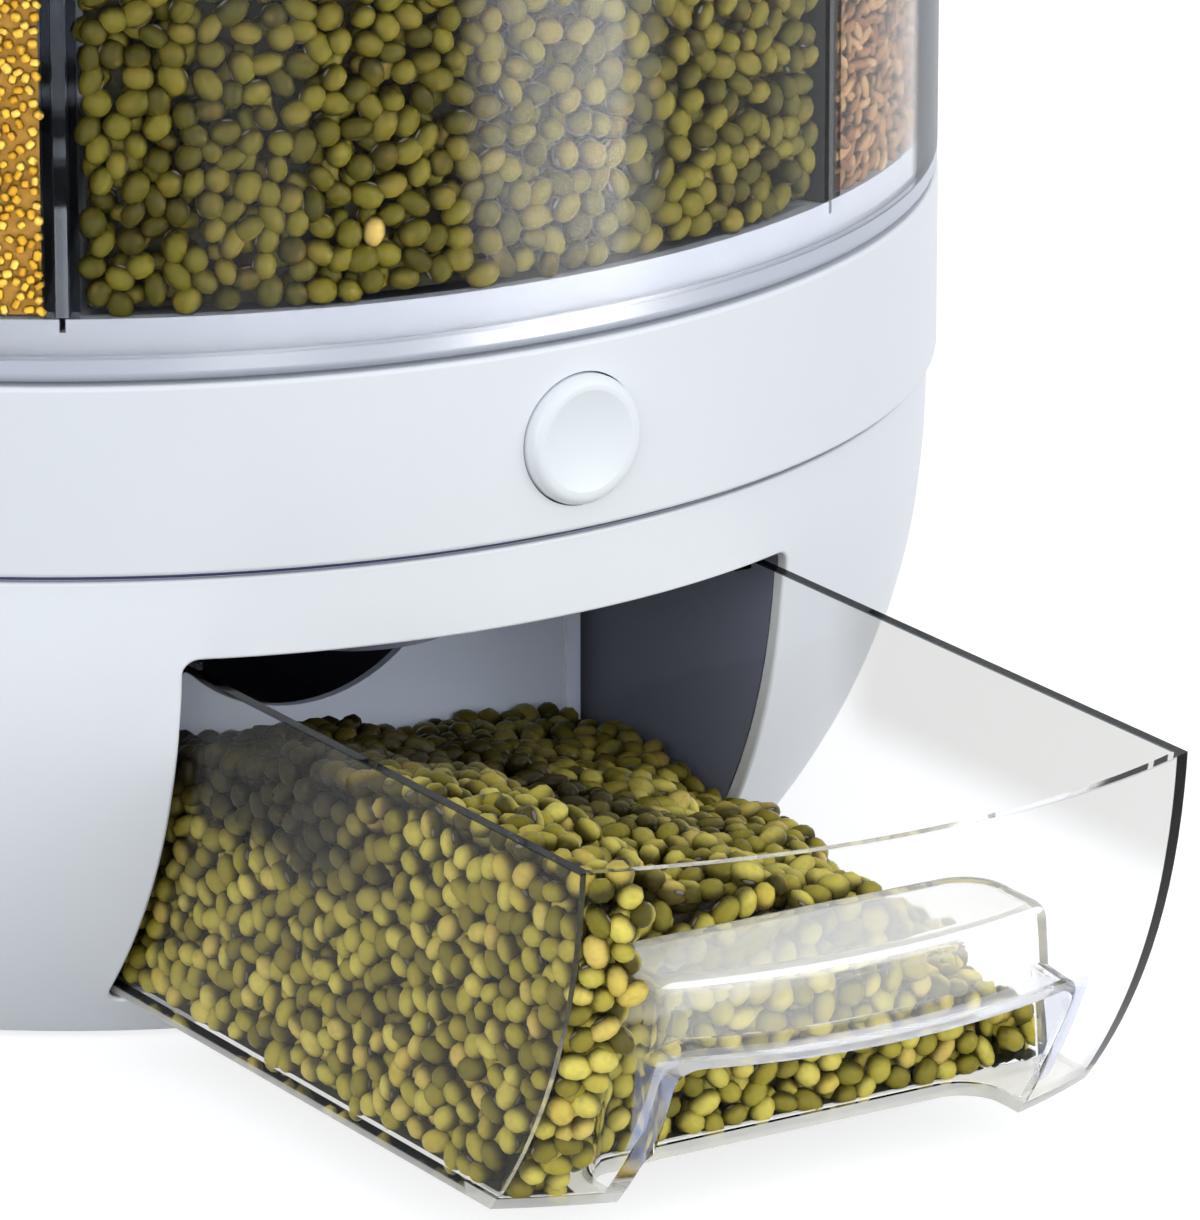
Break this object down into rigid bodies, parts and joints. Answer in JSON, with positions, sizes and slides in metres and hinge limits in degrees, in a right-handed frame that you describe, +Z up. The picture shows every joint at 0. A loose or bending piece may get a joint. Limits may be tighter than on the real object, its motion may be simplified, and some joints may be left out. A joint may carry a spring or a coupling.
{
  "type": "rotating grain dispenser",
  "caption": "Round countertop grain dispenser: a clear compartment tub turns on a fixed base, and a push button lets grain fall through a shutter into a clear pull-out drawer.",
  "frame": {"origin": "on the tub's turning axis, in the plane that the feet stand on", "axes": "+Z up along the tub's turning axis; the drawer slides out along -Y; +X to the right as seen from the front"},
  "size_m": [0.295, 0.4102, 0.3035],
  "materials": {
    "white_shell": "satin moulded",
    "white_button": "satin moulded",
    "white_lid": "satin moulded",
    "white_tray": "satin moulded",
    "white_inner": "matte moulded",
    "grey_shutter": "smooth low-friction",
    "natural_cage": "matte moulded",
    "clear_drawer": "polished clear",
    "clear_tub": "polished clear",
    "clear_divider": "polished smoke-tinted clear",
    "rubber_feet": "matte",
    "soft_seal": "matte silicone",
    "zinc_screws": "zinc plated",
    "steel_shaft": "turned",
    "steel_spring": "drawn wire",
    "steel_balls": "polished"
  },
  "bodies": {
    "base": {"base_shell": "white_shell", "collar": "white_shell", "deck": "white_inner", "drawer_bay": "white_inner", "floor_plate": "white_inner", "foot_pads": "rubber_feet", "gate_guides": "white_inner", "spout": "white_inner", "spindle": "steel_shaft", "base_screws": "zinc_screws", "collar_screws": "zinc_screws", "guide_screws": "zinc_screws"},
    "drawer": {"drawer_bin": "clear_drawer"},
    "button": {"button_cap": "white_button", "button_stem": "steel_shaft", "gate_plate": "grey_shutter", "link_pin": "steel_shaft", "return_spring": "steel_spring"},
    "ball_ring": {"ball_cage": "natural_cage", "bearing_balls": "steel_balls"},
    "tub": {"tub_wall": "clear_tub", "turntable": "white_tray", "divider": "clear_divider", "hub_cap": "clear_divider", "hub_washer": "steel_shaft", "hub_nut": "steel_shaft", "outlet_seals": "soft_seal", "funnel_1": "white_tray", "funnel_2": "white_tray", "funnel_3": "white_tray", "funnel_4": "white_tray", "funnel_5": "white_tray", "funnel_6": "white_tray"},
    "lid": {"lid": "white_lid", "lid_grip": "white_lid", "lid_seal": "soft_seal", "lid_screws": "zinc_screws"}
  },
  "joints": [
    {"name": "drawer_slide", "type": "slide", "parent": "base", "child": "drawer", "axis": [0, -1, 0], "range_m": [-0.1174, 0.0035]},
    {"name": "button_press", "type": "slide", "parent": "base", "child": "button", "axis": [-0.0593, 0.9982, 0], "range_m": [0, 0.011], "stiffness_N_per_m": 150, "springref_m": -0.004, "deforming": ["return_spring"]},
    {"name": "tub_turn", "type": "hinge", "parent": "base", "child": "tub", "pos_m": [0, 0, 0.1226], "axis": [0, 0, 1], "continuous": true},
    {"name": "ball_ring_turn", "type": "hinge", "parent": "base", "child": "ball_ring", "pos_m": [0, 0, 0.11285], "axis": [0, 0, 1], "continuous": true},
    {"name": "lid_lift", "type": "slide", "parent": "tub", "child": "lid", "axis": [0, 0, 1], "range_m": [0, 0.06]}
  ],
  "couplings": [
    {"joint": "ball_ring_turn", "follows": "tub_turn", "ratio": 0.5}
  ]
}
